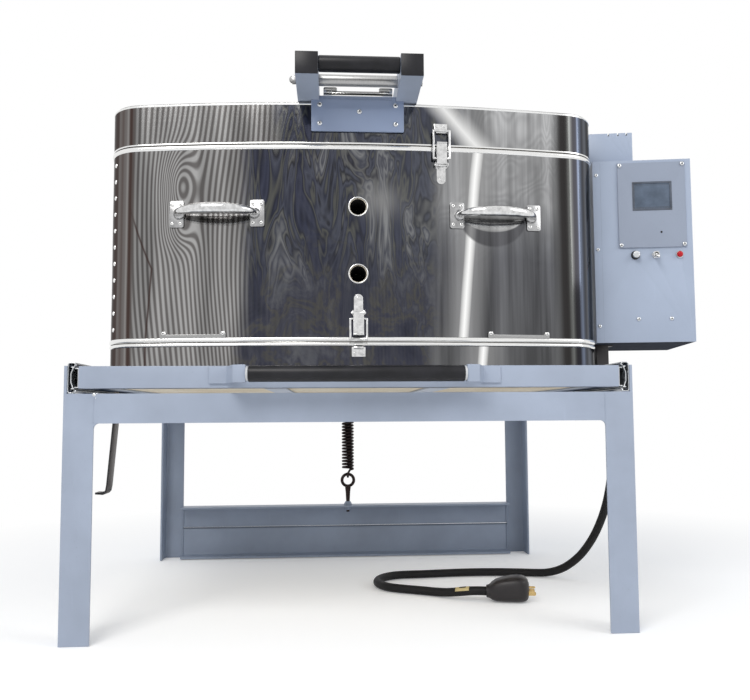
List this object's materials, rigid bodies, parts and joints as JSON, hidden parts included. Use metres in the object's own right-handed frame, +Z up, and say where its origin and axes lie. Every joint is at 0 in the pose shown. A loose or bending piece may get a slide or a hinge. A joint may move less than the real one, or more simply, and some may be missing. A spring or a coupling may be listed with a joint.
{
  "type": "bead annealing kiln",
  "caption": "Bowed steel-jacketed annealing kiln with lift-up lid and chamber on an angle-iron stand with a slide-out floor, a side control box and a heavy mains cord.",
  "frame": {"origin": "middle of the kiln's box on the floor, cord left out", "axes": "+X to the right seen from the front, towards the control box; -Y to the front, where the handles are; +Z up"},
  "size_m": [1.196, 0.902, 0.9829],
  "materials": {
    "stand_paint": "satin blue-grey paint",
    "box_paint": "satin blue-grey sheet metal",
    "panel_face": "satin grey plate with a dark screen",
    "jacket_steel": "polished stainless sheet with gentle waves",
    "zinc": "bright zinc plate",
    "ball_steel": "polished steel",
    "latch_chrome": "nickel plate",
    "spring_steel": "dark oiled steel",
    "firebrick": "matt insulating brick",
    "element_wire": "oxidised resistance wire",
    "sensor": "dull sheath",
    "black_grip": "smooth black vinyl",
    "cord_black": "black cord jacket",
    "black_plastic": "moulded phenolic"
  },
  "bodies": {
    "stand": {"front_legs": "stand_paint", "rear_legs": "stand_paint", "front_rail": "stand_paint", "side_rails": "stand_paint", "rear_crossbars": "stand_paint", "slide_outer_members": "zinc", "stand_fasteners": "zinc", "stand_hinge_brackets": "stand_paint", "chamber_hinge_rod": "zinc", "spring_eye_bolt": "spring_steel", "counterbalance_spring": "spring_steel", "lock_bracket": "stand_paint", "lock_bolt": "zinc", "control_box": "box_paint", "control_box_top_cover": "box_paint", "control_box_post": "stand_paint", "controller_panel": "panel_face", "box_electrics": "black_plastic", "toggle_switch": "zinc", "fuse_holder": "black_plastic", "cord_strain_relief": "cord_black", "power_cord": "cord_black", "power_plug": "cord_black"},
    "slide_middle": {"slide_middle_members": "zinc", "slide_balls": "ball_steel"},
    "tray": {"tray_frame": "stand_paint", "slide_inner_members": "zinc", "tray_handle_brackets": "stand_paint", "tray_handle_grip": "black_grip", "base_jacket": "jacket_steel", "base_bricks": "firebrick", "lower_latch_keeper": "latch_chrome"},
    "chamber": {"chamber_jacket": "jacket_steel", "chamber_bricks": "firebrick", "heating_elements": "element_wire", "peephole_rings": "latch_chrome", "side_handle_bars": "latch_chrome", "side_handle_plates": "latch_chrome", "chamber_fasteners": "zinc", "rim_clips": "jacket_steel", "thermocouple": "sensor", "chamber_hinge_arms": "stand_paint", "lid_hinge_rod": "zinc", "lower_latch_base": "latch_chrome", "upper_latch_base": "latch_chrome"},
    "lid": {"lid_jacket": "jacket_steel", "lid_bricks": "firebrick", "lift_arms": "stand_paint", "arm_caps": "black_grip", "lift_grip": "black_grip", "lift_spacer_bolt": "zinc", "lid_front_plate": "stand_paint", "upper_latch_keeper": "latch_chrome"},
    "lower_lever": {"lower_latch_lever": "latch_chrome"},
    "lower_bail": {"lower_latch_bail": "latch_chrome"},
    "upper_lever": {"upper_latch_lever": "latch_chrome"},
    "upper_bail": {"upper_latch_bail": "latch_chrome"},
    "lock_lever": {"tray_lock_lever": "spring_steel"},
    "toggle": {"toggle_lever": "zinc"},
    "fuse": {"fuse_cap": "black_plastic"}
  },
  "joints": [
    {"name": "tray_slide", "type": "slide", "parent": "stand", "child": "tray", "axis": [0, -1, 0], "range_m": [0, 0.62]},
    {"name": "slide_middle_travel", "type": "slide", "parent": "stand", "child": "slide_middle", "axis": [0, -1, 0], "range_m": [0, 0.31]},
    {"name": "chamber_swing", "type": "hinge", "parent": "stand", "child": "chamber", "pos_m": [-0.09597, 0.347, 0.4993], "axis": [-1, 0, 0], "range_deg": [0, 45], "deforming": ["counterbalance_spring"]},
    {"name": "lid_swing", "type": "hinge", "parent": "chamber", "child": "lid", "pos_m": [-0.09597, 0.347, 0.9033], "axis": [-1, 0, 0], "range_deg": [0, 95]},
    {"name": "lower_lever_swing", "type": "hinge", "parent": "chamber", "child": "lower_lever", "pos_m": [-0.09597, -0.347, 0.5603], "axis": [-1, 0, 0], "range_deg": [0, 110]},
    {"name": "lower_bail_swing", "type": "hinge", "parent": "lower_lever", "child": "lower_bail", "pos_m": [-0.09597, -0.35, 0.5493], "axis": [-1, 0, 0], "range_deg": [0, 60]},
    {"name": "upper_lever_swing", "type": "hinge", "parent": "chamber", "child": "upper_lever", "pos_m": [0.05437, -0.34266, 0.8293], "axis": [0.9983, 0.0577, 0], "range_deg": [0, 110]},
    {"name": "upper_bail_swing", "type": "hinge", "parent": "upper_lever", "child": "upper_bail", "pos_m": [0.05455, -0.34565, 0.8403], "axis": [0.9983, 0.0577, 0], "range_deg": [0, 60]},
    {"name": "lock_lever_swing", "type": "hinge", "parent": "stand", "child": "lock_lever", "pos_m": [-0.53097, -0.2682, 0.3943], "axis": [-1, 0, 0], "range_deg": [0, 20]},
    {"name": "toggle_throw", "type": "hinge", "parent": "stand", "child": "toggle", "pos_m": [0.49463, -0.23239, 0.6933], "axis": [-0.9877, 0.1564, 0], "range_deg": [0, 50]},
    {"name": "fuse_cap_turn", "type": "hinge", "parent": "stand", "child": "fuse", "pos_m": [0.4558, -0.22826, 0.6933], "axis": [0.1564, 0.9877, 0], "range_deg": [0, 90]}
  ],
  "couplings": [
    {"joint": "slide_middle_travel", "follows": "tray_slide", "ratio": 0.5}
  ]
}
